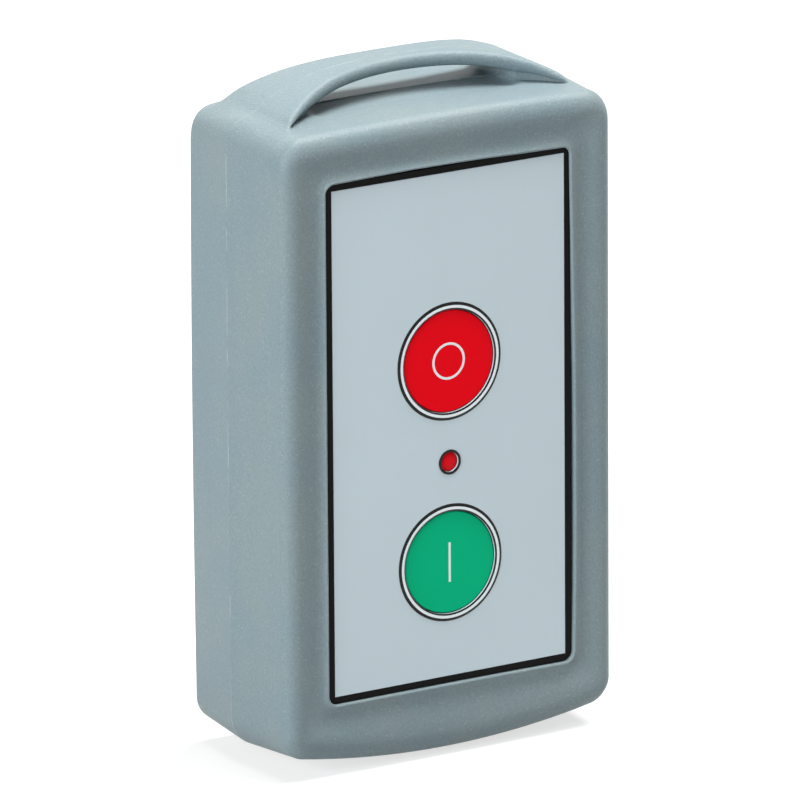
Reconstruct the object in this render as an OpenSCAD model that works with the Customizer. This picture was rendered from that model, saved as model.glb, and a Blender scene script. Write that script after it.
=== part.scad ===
// Two-button radio remote control in a rubber boot.
// X runs to the right, Z up, and the label faces -Y.
// The origin is at the bottom of the boot, in the middle of its width and depth.

/* [Boot] */
// Width of the rubber boot across its sides
boot_w = 57.1; // [48:0.1:68]
// Height of the boot at its middle, without the carrying strap
boot_h = 96.5; // [86:0.1:112]
// Depth of the boot from its front rim to its back
boot_d = 26.2; // [22:0.1:31]
// Distance from the boot's side to the label
frame_side = 8.95; // [7.5:0.05:10]
// Height of the boot above the label, at its middle
boot_head = 9.65; // [8:0.05:11]
// Height of the boot below the label, at its middle
boot_foot = 11.95; // [10:0.05:14]
// Radius of the arched bottom
bottom_arc_r = 139; // [115:1:300]
// Radius of the arched top under the strap
top_arc_r = 680; // [300:10:900]
// Corner radius of the boot, seen from the front
boot_corner_r = 4.8; // [3.8:0.1:6]
// Depth from the label's face to the parting line, where the boot is widest
parting_depth = 13.8; // [11:0.1:16]
// How far the boot's sides draw in from the parting line to the front
front_draft = 0.7; // [0.2:0.1:1]
// How far the boot's sides draw in from the parting line to the back
back_draft = 1.1; // [0.2:0.1:1.3]
// Wall of the boot at its parting line
boot_wall = 2.9; // [2.4:0.1:3.4]
// Thickness of the boot's back
boot_back_t = 2.2; // [1.8:0.1:2.6]
// Radius of the edge round the back
back_round = 1; // [0.6:0.1:2]
// Clearance between the boot and the case
boot_fit = 0.1; // [0.05:0.05:0.3]

/* [Front frame of the boot] */
// How far the front rim stands proud of the label
rim_proud = 0.5; // [0.2:0.1:1]
// Distance from the front of the boot's side to the crest of the rim
rim_in = 2.2; // [1.8:0.1:2.6]
// Depth over which the front edge is rounded
rim_round = 2.2; // [1.8:0.1:3.2]
// Depth of the dish below the crest of the rim
dish_low = 0.35; // [0.2:0.05:0.6]
// Distance from the window to the bottom of the dish
dish_in = 2; // [1.4:0.1:2.6]
// How far the soft ridge round the window stands proud
ridge_proud = 0.5; // [0.3:0.05:0.7]
// Distance from the window to the crest of the ridge
ridge_in = 0.3; // [0.2:0.05:0.6]
// Depth from the label's face to the back of the lip
lip_t = 2; // [1.5:0.1:2.4]
// Corner radius of the window in the boot
window_r = 1.4; // [1:0.1:2.4]

/* [Carrying strap] */
// Height of the strap's crest above the boot's top, at the middle
strap_rise = 5; // [4:0.1:7]
// Thickness of the strap
strap_t = 2.2; // [1.6:0.1:2.4]
// How far the crest falls from the middle to the corners
strap_fall = 7.4; // [6:0.1:9]
// Depth of the strap at its middle
strap_mid_w = 6.6; // [4:0.1:8]
// Depth from the label's face to the front of the strap, at its middle
strap_front = 11.4; // [10:0.1:13]
// Radius of the strap's front edge, seen from above
strap_front_r = 44; // [40:1:60]
// Radius of the strap's back edge, seen from above
strap_back_r = 58; // [48:1:70]
// Distance from the boot's side and back to the ends of the strap's crest
strap_in = 1.9; // [1.5:0.1:2.4]
// Radius of the strap's long edges
strap_edge_r = 0.9; // [0.4:0.1:1]
// Width of the slot under the strap
slot_w = 35; // [30:0.5:38]

/* [Case] */
// Wall of the two case shells
shell_wall = 2; // [1.6:0.1:2.4]
// Depth from the label's face to the joint of the shells
split_depth = 13; // [12:0.1:14]
// Width of the gasket
seal_w = 0.9; // [0.7:0.1:1]
// Thickness of the gasket
seal_t = 0.8; // [0.5:0.1:1.2]
// Width of the black border round the label
border = 1; // [0.8:0.1:1.4]
// Thickness of the plateau behind the label
plateau_t = 1.6; // [1.2:0.1:2]
// Distance from the inside of the case's side to a case screw
case_screw_in = 2.5; // [2:0.1:3]
// Distance from the inside of the case's top down to the upper case screws
case_screw_down = 3.5; // [3:0.1:4.5]
// Diameter of a case screw's shank
case_screw_d = 2.2; // [2:0.1:2.6]
// Length of a case screw under its head
case_screw_l = 14; // [12:0.5:15]
// Diameter of a case screw's head
case_screw_head_d = 4.2; // [3.8:0.1:4.6]
// Height of a case screw's head
case_screw_head_h = 1.4; // [1:0.1:1.6]
// Diameter of a case screw's boss
case_boss_d = 6; // [5.6:0.1:6.4]

/* [Label and rims] */
// Thickness of the label film
film_t = 0.3; // [0.2:0.05:0.4]
// Clearance round the label film in its recess
film_fit = 0.05; // [0.02:0.01:0.1]
// Width of a button's rim
rim_w = 1.1; // [0.9:0.05:1.2]
// Height of a button's rim
rim_h = 0.14; // [0.1:0.02:0.4]
// Width of the white line on the rim
line_w = 0.4; // [0.3:0.05:0.5]
// How far the white line stands out of the rim
line_proud = 0.02; // [0.02:0.01:0.08]
// Distance from the rim's outer edge to the middle of the white line
line_in = 0.65; // [0.5:0.05:0.8]

/* [Buttons] */
// Diameter of a button cap
button_d = 15; // [14:0.1:15]
// Distance between the two buttons
button_pitch = 30; // [28:0.1:32]
// Height of the stop button above the label's middle
stop_z = 9.5; // [8:0.1:11]
// How far a cap sits below the label's face
cap_low = 0.15; // [0.1:0.05:0.5]
// Width and height of the bevel round a cap
cap_edge = 0.1; // [0.05:0.05:0.3]
// Travel of a button
travel = 0.3; // [0.2:0.05:0.35]
// Clearance round a button cap
cap_fit = 0.15; // [0.1:0.05:0.2]
// Width of the flange that keeps a cap in the case
flange_w = 1; // [0.8:0.1:1.2]
// Thickness of the flange
flange_t = 0.8; // [0.6:0.1:0.9]
// Diameter of the post behind a cap
post_d = 5; // [4:0.1:6]
// Length of the post behind the flange
post_l = 0.575; // [0.4:0.025:0.8]
// Outer diameter of the O
o_d = 5.5; // [5:0.1:6.5]
// Line width of the O and the I
stroke_w = 0.36; // [0.3:0.02:0.5]
// Height of the I
i_h = 5.9; // [5:0.1:7]
// Depth of the symbols in the caps
symbol_t = 0.15; // [0.1:0.05:0.2]
// Diameter of the status light
led_d = 2.85; // [2.6:0.05:3.1]
// Length of the status light
led_l = 5.3; // [5:0.1:5.6]
// Width of the ring round the status light
led_ring_w = 0.375; // [0.3:0.025:0.6]
// Height of the ring round the status light
led_ring_h = 0.08; // [0.05:0.01:0.12]
// Side of the status light's leads
lead_w = 0.5; // [0.4:0.05:0.6]
// Distance between the status light's leads
lead_pitch = 1.6; // [1.4:0.1:1.8]

/* [Circuit board] */
// Clearance between the circuit board's edges and the case
board_fit = 0.6; // [0.4:0.1:1]
// Thickness of the circuit board
board_t = 1.6; // [1.2:0.1:1.6]
// Distance from the side of the case's plateau to the board screws
board_screw_in = 2.5; // [2.4:0.1:3]
// Distance from the board's upper and lower edges to its screws
board_screw_down = 13; // [11:0.1:15]
// Diameter of a board screw's shank
board_screw_d = 1.8; // [1.6:0.1:2]
// Length of a board screw under its head
board_screw_l = 4.6; // [4:0.1:5]
// Diameter of a board screw's head
board_screw_head_d = 3.6; // [3:0.1:4]
// Height of a board screw's head
board_screw_head_h = 1.1; // [0.8:0.1:1.4]
// Diameter of the posts that carry the board
board_post_d = 4.6; // [4:0.1:5]
// Side of a push switch
switch_w = 6; // [5.8:0.1:6.4]
// Height of a push switch's body
switch_h = 3.5; // [3.4:0.1:3.6]
// Diameter of a push switch's plunger
plunger_d = 3.5; // [3:0.1:3.6]
// Side of the microcontroller
chip_w = 9; // [7:0.5:10]
// Height of the microcontroller
chip_h = 1.4; // [1:0.1:1.8]
// Number of pins on one side of the microcontroller
chip_pins = 11; // [7:1:13]
// Width of the radio module
radio_w = 14; // [12:0.5:15]
// Height of the radio module along the board
radio_h = 12; // [10:0.5:13]
// Thickness of the radio module
radio_t = 2.4; // [2:0.1:2.8]
// Width of the antenna's trace
antenna_w = 1; // [0.8:0.1:1.2]
// Thickness of the antenna's trace
antenna_t = 0.1; // [0.05:0.01:0.15]
// Distance from the board's edge to the antenna
antenna_in = 1; // [0.8:0.1:1.2]

/* [Battery] */
// Clearance between a cell and the back of the case
cell_room = 0.5; // [0.3:0.1:1]
// Length of a cell with its positive nub
cell_l = 44.5; // [43:0.1:50]
// Diameter of a cell's positive nub
nub_d = 3.8; // [3.4:0.1:4.2]
// Length of a cell's positive nub
nub_l = 0.8; // [0.6:0.1:1]
// Wall of the battery holder
holder_wall = 1; // [0.8:0.1:1.2]
// Clearance round a cell in the holder
cell_fit = 0.1; // [0.05:0.01:0.15]
// Length of a battery spring as pressed by its cell
spring_l = 3.2; // [2.8:0.1:4]
// Wire diameter of a battery spring
spring_wire = 0.5; // [0.4:0.05:0.6]
// Turns of a battery spring
spring_turns = 3; // [2:0.5:3]
// Thickness of the contact plates
contact_t = 0.4; // [0.3:0.05:0.5]
// Distance from the side of a cell to its contact plates
contact_in = 1.25; // [0.8:0.05:1.6]
// Height of the battery holder's middle below the label's middle
holder_low = 8; // [6:0.1:9]

/* [Hidden] */
$fn = 64;

// Overrun of every cut past the face that it opens
over = 0.2;
// Running gap between a turned piece and the hole round it
hole_fit = 0.05;

// Sizes and places that follow, measured from the middle of the label's face
label_w = boot_w - 2 * frame_side;
label_h = boot_h - boot_head - boot_foot;
label_z = boot_foot + label_h / 2;
foot_z = -label_z;
top_z = foot_z + boot_h;
back_y = boot_d - rim_proud;
crest_in = front_draft + rim_in;
dish_depth = dish_low - rim_proud;
start_z = stop_z - button_pitch;
led_z = stop_z - button_pitch / 2;
plateau_w = label_w + 2 * border;
plateau_h = label_h + 2 * border;
window_w = plateau_w + 2 * boot_fit;
window_h = plateau_h + 2 * boot_fit;
plateau_back = film_t + plateau_t;
shell_front = lip_t + boot_fit;
shell_in = boot_wall + boot_fit;
shell_back = back_y - boot_back_t - boot_fit;
case_in_x = boot_w / 2 - shell_in - shell_wall;
case_in_top = top_z - shell_in - shell_wall;
case_screw_x = case_in_x - case_screw_in;
case_screw_z = case_in_top - case_screw_down;

// The caps, the switches and the board stand on each other
flange_front = plateau_back + hole_fit;
flange_back = flange_front + flange_t;
plunger_front = flange_back + post_l;
plunger_rise = plunger_d / 4;
switch_front = plunger_front + plunger_rise;
board_depth = switch_front + switch_h;
board_back = board_depth + board_t;
board_w = 2 * (case_in_x - board_fit);
board_h = 2 * (case_in_top - 2 * board_fit);
board_screw_x = plateau_w / 2 - board_screw_in;
board_screw_z = board_h / 2 - board_screw_down;

// Points along each stretch of an outline
edge_steps = 14;
side_steps = 8;
corner_steps = 6;

// Moves what is drawn round the middle of the label's face to its place in the part
module on_label() {
    translate([0, rim_proud - boot_d / 2, label_z]) children();
}

// A cylinder along Y that starts at a depth
module turned(d, depth, l, x = 0, z = 0) {
    translate([x, depth + l, z]) rotate([90, 0, 0]) cylinder(d = d, h = l);
}

// A block centred on X and Z that starts at a depth
module block(w, h, depth, l, x = 0, z = 0) {
    translate([x - w / 2, depth, z - h / 2]) cube([w, l, h]);
}

// A solid of revolution about Y, from a profile of radius and depth
module ring_profile(points, z = 0) {
    translate([0, 0, z]) rotate([-90, 0, 0]) rotate_extrude() polygon(points);
}

// One arched edge and its corners: sign is -1 for the bottom and 1 for the top.
// The middle of a corner lies where an arc of the corner's radius meets the arch and the side.
function corner_x(hw, r) = hw - r;
function corner_z(hw, apex, sign, arc_r, r) = arc_r > 0
    ? apex - sign * arc_r + sign * sqrt(pow(arc_r - r, 2) - pow(corner_x(hw, r), 2))
    : apex - sign * r;
function corner_angle(hw, arc_r, r) = arc_r > 0 ? asin(corner_x(hw, r) / (arc_r - r)) : 0;
function arch_point(hw, apex, sign, arc_r, r, share) = arc_r > 0
    ? let (a = corner_angle(hw, arc_r, r) * share)
        [arc_r * sin(a), apex - sign * arc_r * (1 - cos(a))]
    : [corner_x(hw, r) * share, apex];

// A closed outline with straight sides and arched or flat ends, always with the same count of points
function outline(hw, low, high, low_r, high_r, r) =
    let (
        low_a = corner_angle(hw, low_r, r), high_a = corner_angle(hw, high_r, r),
        cx = corner_x(hw, r),
        low_cz = corner_z(hw, low, -1, low_r, r), high_cz = corner_z(hw, high, 1, high_r, r)
    )
    concat(
        [for (i = [0:edge_steps]) arch_point(hw, low, -1, low_r, r, 2 * i / edge_steps - 1)],
        [for (i = [1:corner_steps - 1]) let (a = low_a - 90 + (90 - low_a) * i / corner_steps)
            [cx + r * cos(a), low_cz + r * sin(a)]],
        [for (i = [0:side_steps]) [hw, low_cz + (high_cz - low_cz) * i / side_steps]],
        [for (i = [1:corner_steps - 1]) let (a = (90 - high_a) * i / corner_steps)
            [cx + r * cos(a), high_cz + r * sin(a)]],
        [for (i = [0:edge_steps]) arch_point(hw, high, 1, high_r, r, 1 - 2 * i / edge_steps)],
        [for (i = [1:corner_steps - 1]) let (a = 90 + high_a + (90 - high_a) * i / corner_steps)
            [-cx + r * cos(a), high_cz + r * sin(a)]],
        [for (i = [0:side_steps]) [-hw, high_cz + (low_cz - high_cz) * i / side_steps]],
        [for (i = [1:corner_steps - 1]) let (a = 180 + (90 - low_a) * i / corner_steps)
            [-cx + r * cos(a), low_cz + r * sin(a)]]
    );

// The boot's outline, drawn in by a distance
function body_outline(inset) = outline(
    boot_w / 2 - inset, foot_z + inset, top_z - inset,
    bottom_arc_r - inset, top_arc_r - inset, max(boot_corner_r - inset, window_r)
);

// The window's outline, grown by a distance
function window_outline(grow) = outline(
    window_w / 2 + grow, -window_h / 2 - grow, window_h / 2 + grow, 0, 0, window_r + grow
);

function at_depth(points, depth) = [for (p = points) [p[0], depth, p[1]]];
function mix(a, b, share) = [for (i = [0:len(a) - 1]) a[i] + (b[i] - a[i]) * share];

// Joins rings of equal count into a closed solid with flat ends
module loft(rings) {
    n = len(rings[0]);
    m = len(rings);
    polyhedron(
        points = [for (ring = rings) each ring],
        faces = concat(
            [[for (j = [0:n - 1]) j]],
            [for (i = [0:m - 2], j = [0:n - 1]) let (k = (j + 1) % n)
                [i * n + j, (i + 1) * n + j, (i + 1) * n + k, i * n + k]],
            [[for (j = [n - 1:-1:0]) (m - 1) * n + j]]
        ),
        convexity = 6
    );
}

// Rubber boot
round_steps = 5;
dish_steps = 5;

// Eases from 0 to 1 with level ends
function ease(share) = (1 - cos(180 * share)) / 2;

boot_rings = concat(
    // back edge
    [for (i = [0:round_steps]) let (a = 90 * i / round_steps)
        at_depth(
            body_outline(back_draft + back_round * (1 - sin(a))),
            back_y - back_round * (1 - cos(a))
        )],
    // parting line, where the sides stand out furthest
    [at_depth(body_outline(0), parting_depth)],
    // front edge, up to the crest of the rim
    [for (i = [0:round_steps]) let (a = 90 * i / round_steps)
        at_depth(
            body_outline(front_draft + rim_in * (1 - cos(a))),
            rim_round * (1 - sin(a)) - rim_proud
        )],
    // down into the dish
    [for (i = [1:dish_steps]) let (s = i / dish_steps)
        at_depth(
            mix(body_outline(crest_in), window_outline(dish_in), s),
            dish_low * ease(s) - rim_proud
        )],
    // up to the ridge, more steeply as it nears the window
    [for (i = [1:dish_steps - 1]) let (s = i / (dish_steps - 1))
        at_depth(
            window_outline(dish_in + (ridge_in - dish_in) * s),
            dish_depth - (dish_depth + ridge_proud) * pow(s, 2)
        )],
    // over the ridge to the window
    [at_depth(window_outline(ridge_in / 3), -ridge_proud / 2), at_depth(window_outline(0), 0)],
    // back of the lip and the room for the case
    [at_depth(window_outline(0), lip_t), at_depth(body_outline(boot_wall), lip_t)],
    [at_depth(body_outline(boot_wall), back_y - boot_back_t)]
);

strap_top_z = top_z + strap_rise;
strap_reach = boot_w / 2 - strap_in;
strap_half = boot_w / 2 - strap_in / 2;
// The crest falls by the mean of a square law and a fourth power law
function strap_z(x) = let (s = x / strap_reach)
    strap_top_z - strap_fall * (pow(s, 2) + pow(s, 4)) / 2;

module rubber_boot() {
    color("darkgray") on_label() union() {
        loft(boot_rings);
        strap();
    }
}

// Stations from the middle to one end: over the slot, round its end, and along the shoulder
slot_steps = 13;
slot_end_steps = 3;
shoulder_steps = 7;
corner_points = 4;
slot_half = slot_w / 2;
slot_end_r = strap_t / 3;
strap_xs = concat(
    [for (i = [0:slot_steps]) (slot_half - slot_end_r) * i / slot_steps],
    [for (i = [1:slot_end_steps]) slot_half - slot_end_r * (1 - sin(90 * i / slot_end_steps))],
    [for (i = [1:shoulder_steps]) slot_half + (strap_half - slot_half) * i / shoulder_steps]
);
strap_places = concat([for (i = [len(strap_xs) - 1:-1:1]) -strap_xs[i]], strap_xs);

// Height of the middle of the boot's top wall, which the strap's ends run into
function wall_z(x) =
    let (
        hw = (boot_w - boot_wall) / 2, apex = top_z - boot_wall / 2,
        arc_r = top_arc_r - boot_wall / 2, r = boot_corner_r - boot_wall / 2,
        past = abs(x) - corner_x(hw, r)
    )
    past > 0 ? corner_z(hw, apex, 1, arc_r, r) + sqrt(max(0, r * r - past * past))
    : apex - arc_r + sqrt(arc_r * arc_r - x * x);

// Height of the strap's underside: one thickness below its top over the slot, round at the
// slot's end, and inside the boot's wall past it
function strap_low(x) = let (a = abs(x), under = strap_z(x) - strap_t)
    a <= slot_half - slot_end_r ? under
    : a < slot_half ? under - slot_end_r * (1 - sqrt(1 - pow((a - slot_half) / slot_end_r + 1, 2)))
    : min(wall_z(x), strap_z(x) - 2 * strap_edge_r);

// One section of the strap, a rounded rectangle whose front and back edges follow their arcs
corner_turns = [180, 270, 0, 90];
function strap_section(x) =
    let (
        front = strap_front - strap_front_r + sqrt(pow(strap_front_r, 2) - x * x),
        back = min(
            strap_front + strap_mid_w + strap_back_r - sqrt(pow(strap_back_r, 2) - x * x),
            back_y - strap_in
        ),
        r = strap_edge_r
    )
    [for (c = [0:3], i = [0:corner_points - 1])
        let (
            a = corner_turns[c] + 90 * i / (corner_points - 1),
            mid_y = c == 0 || c == 3 ? front + r : back - r,
            mid_z = c < 2 ? strap_low(x) + r : strap_z(x) - r
        )
        [x, mid_y + r * cos(a), mid_z + r * sin(a)]];

module strap() {
    loft([for (x = strap_places) strap_section(x)]);
}

// A slab with an outline seen from the front, from a depth inwards
module slab(points, depth, l) {
    translate([0, depth + l, 0]) rotate([90, 0, 0]) linear_extrude(l) polygon(points);
}

// The four corners of a rectangle of places
module at_corners(x, z) {
    for (sx = [-1, 1], sz = [-1, 1]) translate([sx * x, 0, sz * z]) children();
}

// A cross-headed screw whose head rests at a depth and whose tip points at the label
cross_l_share = 0.62;
cross_w_share = 0.16;
module screw(d, l, head_d, head_h, seat) {
    difference() {
        union() {
            turned(d, seat - l, l + head_h / 4);
            turned(head_d, seat, head_h);
        }
        for (turn = [0, 90]) rotate([0, turn, 0])
            block(head_d * cross_l_share, head_d * cross_w_share, seat + head_h / 2, head_h);
    }
}

// Case shells, gasket and screws
screw_seat = shell_back - case_screw_head_h - over;
screw_hole_d = case_screw_d + 2 * hole_fit;
button_hole_d = button_d + 2 * cap_fit;
led_hole_d = led_d + 2 * hole_fit;

function case_outline(inset) = body_outline(shell_in + inset);

module front_shell() {
    color("dimgray") on_label() difference() {
        union() {
            difference() {
                union() {
                    slab(case_outline(0), shell_front, split_depth - shell_front);
                    slab(
                        outline(plateau_w / 2, -plateau_h / 2, plateau_h / 2, 0, 0, window_r),
                        0, shell_front + over
                    );
                }
                slab(case_outline(shell_wall), shell_front + shell_wall, split_depth);
                block(
                    plateau_w - 2 * shell_wall, plateau_h - 2 * shell_wall,
                    plateau_back, shell_front + shell_wall
                );
            }
            at_corners(case_screw_x, case_screw_z)
                turned(
                    case_boss_d, shell_front + shell_wall - over,
                    split_depth - shell_front - shell_wall + over
                );
            at_corners(board_screw_x, board_screw_z)
                turned(board_post_d, plateau_back - over, board_depth - plateau_back + over);
        }
        block(label_w + 2 * film_fit, label_h + 2 * film_fit, -over, film_t + over);
        for (z = [stop_z, start_z]) turned(button_hole_d, 0, plateau_back + over, 0, z);
        turned(led_hole_d, 0, plateau_back + over, 0, led_z);
        at_corners(case_screw_x, case_screw_z)
            turned(screw_hole_d, screw_seat - case_screw_l - over, split_depth);
        at_corners(board_screw_x, board_screw_z)
            turned(board_screw_d + 2 * hole_fit, board_back - board_screw_l - over, board_screw_l);
    }
}

module seal_ring() {
    difference() {
        slab(case_outline((shell_wall - seal_w) / 2), split_depth, seal_t);
        slab(case_outline((shell_wall + seal_w) / 2), split_depth - over, seal_t + 2 * over);
    }
}

module rear_shell() {
    color("dimgray") on_label() difference() {
        union() {
            difference() {
                slab(case_outline(0), split_depth, shell_back - split_depth);
                slab(
                    case_outline(shell_wall), split_depth - over,
                    shell_back - shell_wall - split_depth + over
                );
            }
            at_corners(case_screw_x, case_screw_z)
                turned(case_boss_d, split_depth, shell_back - split_depth - over);
        }
        seal_ring();
        at_corners(case_screw_x, case_screw_z) {
            turned(screw_hole_d, split_depth - over, shell_back);
            turned(case_screw_head_d + 2 * hole_fit, screw_seat, shell_back);
        }
    }
}

module case_seal() {
    color("black") on_label() seal_ring();
}

module case_screws() {
    color("silver") on_label() at_corners(case_screw_x, case_screw_z)
        screw(case_screw_d, case_screw_l, case_screw_head_d, case_screw_head_h, screw_seat);
}

// Label film, rims and status light
module overlay_film() {
    color("lightsteelblue") on_label() difference() {
        block(label_w, label_h, 0, film_t);
        for (z = [stop_z, start_z]) turned(button_hole_d, -over, film_t + 2 * over, 0, z);
        turned(led_hole_d, -over, film_t + 2 * over, 0, led_z);
    }
}

rim_d = button_hole_d + 2 * rim_w;
line_mid_r = rim_d / 2 - line_in;
line_out_r = line_mid_r + line_w / 2;
line_in_r = line_mid_r - line_w / 2;

module rim(z) {
    ring_profile([
        [button_hole_d / 2, 0], [rim_d / 2, 0], [line_out_r, -rim_h], [line_in_r, -rim_h]
    ], z);
}

module rim_line(z) {
    ring_profile([
        [line_in_r, -rim_h], [line_out_r, -rim_h],
        [line_out_r, -rim_h - line_proud], [line_in_r, -rim_h - line_proud]
    ], z);
}

module stop_ring() {
    color("black") on_label() rim(stop_z);
}
module start_ring() {
    color("black") on_label() rim(start_z);
}
module stop_ring_line() {
    color("white") on_label() rim_line(stop_z);
}
module start_ring_line() {
    color("white") on_label() rim_line(start_z);
}

led_ring_in = led_hole_d / 2;
led_ring_out = led_ring_in + led_ring_w;
module led_ring() {
    color("black") on_label() ring_profile([
        [led_ring_in, -led_ring_h], [led_ring_out, -led_ring_h], [led_ring_out, 0], [led_ring_in, 0]
    ], led_z);
}

// The light's crown stands just under the label's face
led_top = cap_low / 2;
led_crown = led_d / 10;
led_base = led_top + led_l;
led_steps = 6;

module lead_holes(grow) {
    side = lead_w + 2 * grow;
    for (s = [-1, 1])
        block(side, side, led_base - over, board_back - led_base + over, s * lead_pitch / 2, led_z);
}

module status_led() {
    color("crimson") on_label() {
        ring_profile(concat(
            [for (i = [0:led_steps]) let (a = 90 * i / led_steps)
                [led_d / 2 * sin(a), led_top + led_crown * (1 - cos(a))]],
            [[led_d / 2, led_base - led_l / 5], [led_d / 2 + lead_w, led_base - led_l / 5],
            [led_d / 2 + lead_w, led_base], [0, led_base]]
        ), led_z);
        lead_holes(0);
    }
}

// Buttons, their symbols and the plungers that they press
plunger_l = 2 * plunger_rise;
dome_front = plunger_front + plunger_l + travel + hole_fit;
dome_h = plunger_d / 9;
dome_t = dome_h / 3;

module button(z) {
    ring_profile([
        [0, cap_low], [button_d / 2 - cap_edge, cap_low], [button_d / 2, cap_low + cap_edge],
        [button_d / 2, flange_front], [button_d / 2 + flange_w, flange_front],
        [button_d / 2 + flange_w, flange_back], [post_d / 2, flange_back],
        [post_d / 2, plunger_front], [0, plunger_front]
    ], z);
}

module o_symbol(l) {
    difference() {
        turned(o_d, cap_low + symbol_t - l, l, 0, stop_z);
        turned(o_d - 2 * stroke_w, cap_low - over, symbol_t + 2 * over, 0, stop_z);
    }
}

module i_symbol(l) {
    block(stroke_w, i_h, cap_low + symbol_t - l, l, 0, start_z);
}

module stop_button() {
    color("red") on_label() difference() {
        button(stop_z);
        o_symbol(symbol_t + over);
    }
}
module start_button() {
    color("green") on_label() difference() {
        button(start_z);
        i_symbol(symbol_t + over);
    }
}
module stop_symbol() {
    color("white") on_label() o_symbol(symbol_t + line_proud);
}
module start_symbol() {
    color("white") on_label() i_symbol(symbol_t + line_proud);
}
module stop_plunger() {
    color("dimgray") on_label() turned(plunger_d, plunger_front, plunger_l, 0, stop_z);
}
module start_plunger() {
    color("dimgray") on_label() turned(plunger_d, plunger_front, plunger_l, 0, start_z);
}

// Push switches
leg_w = switch_w / 8;
leg_l = switch_w / 6;
leg_t = switch_h / 14;

module push_switch(z) {
    translate([0, 0, z]) {
        difference() {
            block(switch_w, switch_w, switch_front, switch_h);
            turned(
                plunger_d + 2 * hole_fit, switch_front - over,
                dome_front + dome_h - switch_front + over
            );
        }
        at_corners((switch_w + leg_l) / 2 - leg_t, switch_w / 3)
            block(leg_l + 2 * leg_t, leg_w, board_depth - leg_t, leg_t);
    }
}

module stop_switch() {
    color("darkslategray") on_label() push_switch(stop_z);
}
module start_switch() {
    color("darkslategray") on_label() push_switch(start_z);
}

dome_steps = 5;
module switch_domes() {
    color("silver") on_label() for (z = [stop_z, start_z]) ring_profile(concat(
        [for (i = [0:dome_steps]) let (a = 90 * i / dome_steps)
            [plunger_d / 2 * sin(a), dome_front + (dome_h - dome_t) * (1 - cos(a))]],
        [for (i = [dome_steps:-1:0]) let (a = 90 * i / dome_steps)
            [(plunger_d / 2 - dome_t) * sin(a), dome_front + dome_t + (dome_h - dome_t) * (1 - cos(a))]]
    ), z);
}

// Circuit board and what is on it
board_notch_x = case_screw_x - case_boss_d / 2 - over;
board_notch_z = case_screw_z - case_boss_d / 2 - over;

module circuit_board() {
    color("seagreen") on_label() difference() {
        union() {
            block(board_w, 2 * board_notch_z, board_depth, board_t);
            block(2 * board_notch_x, board_h, board_depth, board_t);
        }
        at_corners(board_screw_x, board_screw_z)
            turned(board_screw_d + 2 * hole_fit, board_depth - over, board_t + 2 * over);
        lead_holes(hole_fit);
    }
}

module board_screws() {
    color("silver") on_label() at_corners(board_screw_x, board_screw_z)
        screw(board_screw_d, board_screw_l, board_screw_head_d, board_screw_head_h, board_back);
}

chip_share = [-0.18, 0.33];
pin_row_share = 0.9;
pin_w_share = 0.4;
pin_l_share = 0.11;
pin_t_share = 0.14;
pin_l = chip_w * pin_l_share;
pin_t = chip_h * pin_t_share;
chip_pitch = chip_w * pin_row_share / chip_pins;

module microcontroller() {
    color("black") on_label() translate([board_w * chip_share[0], 0, board_h * chip_share[1]]) {
        block(chip_w, chip_w, board_depth - chip_h, chip_h - pin_t / 2);
        for (turn = [0:90:270], i = [0:chip_pins - 1]) rotate([0, turn, 0])
            block(
                chip_pitch * pin_w_share, pin_l + pin_t, board_depth - pin_t, pin_t,
                chip_pitch * (i - (chip_pins - 1) / 2), (chip_w + pin_l - pin_t) / 2
            );
    }
}

radio_share = [0.17, 0.33];
can_share = 0.82;
module radio_module() {
    color("silver") on_label() translate([board_w * radio_share[0], 0, board_h * radio_share[1]]) {
        block(radio_w, radio_h, board_depth - radio_t / 3, radio_t / 3);
        block(radio_w * can_share, radio_h * can_share, board_depth - radio_t, radio_t);
    }
}

antenna_half_w = board_notch_x - antenna_in;
antenna_top = board_h / 2 - antenna_in;
antenna_low = board_notch_z + antenna_in;
antenna_mid = (antenna_top + antenna_low) / 2;
module loop_antenna() {
    color("goldenrod") on_label() difference() {
        block(
            2 * antenna_half_w, antenna_top - antenna_low,
            board_depth - antenna_t, antenna_t, 0, antenna_mid
        );
        block(
            2 * (antenna_half_w - antenna_w), antenna_top - antenna_low - 2 * antenna_w,
            board_depth - antenna_t - over, antenna_t + 2 * over, 0, antenna_mid
        );
        block(
            antenna_w, 2 * antenna_w, board_depth - antenna_t - over, antenna_t + 2 * over,
            0, antenna_low + antenna_w / 2
        );
    }
}

crystal_share = [-0.22, 0.2];
crystal_l_share = 1.2;
crystal_w_share = 0.5;
crystal_h_share = 1.3;
crystal_l = chip_w * crystal_l_share;
crystal_w = chip_w * crystal_w_share;
crystal_h = radio_t * crystal_h_share;
crystal_straight = crystal_l - crystal_w;
module crystal() {
    color("silver") on_label() translate([board_w * crystal_share[0], 0, board_h * crystal_share[1]]) {
        for (s = [-1, 1])
            turned(crystal_w, board_depth - crystal_h, crystal_h, s * crystal_straight / 2);
        block(crystal_straight, crystal_w, board_depth - crystal_h, crystal_h);
    }
}

capacitor_shares = [[0.27, 0.17], [-0.3, -0.02], [0.28, -0.06]];
capacitor_d_share = 3;
capacitor_h_share = 2.5;
capacitor_d = board_t * capacitor_d_share;
capacitor_h = board_t * capacitor_h_share;
module capacitors() {
    color("gainsboro") on_label() for (p = capacitor_shares)
        turned(capacitor_d, board_depth - capacitor_h, capacitor_h, board_w * p[0], board_h * p[1]);
}

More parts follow.
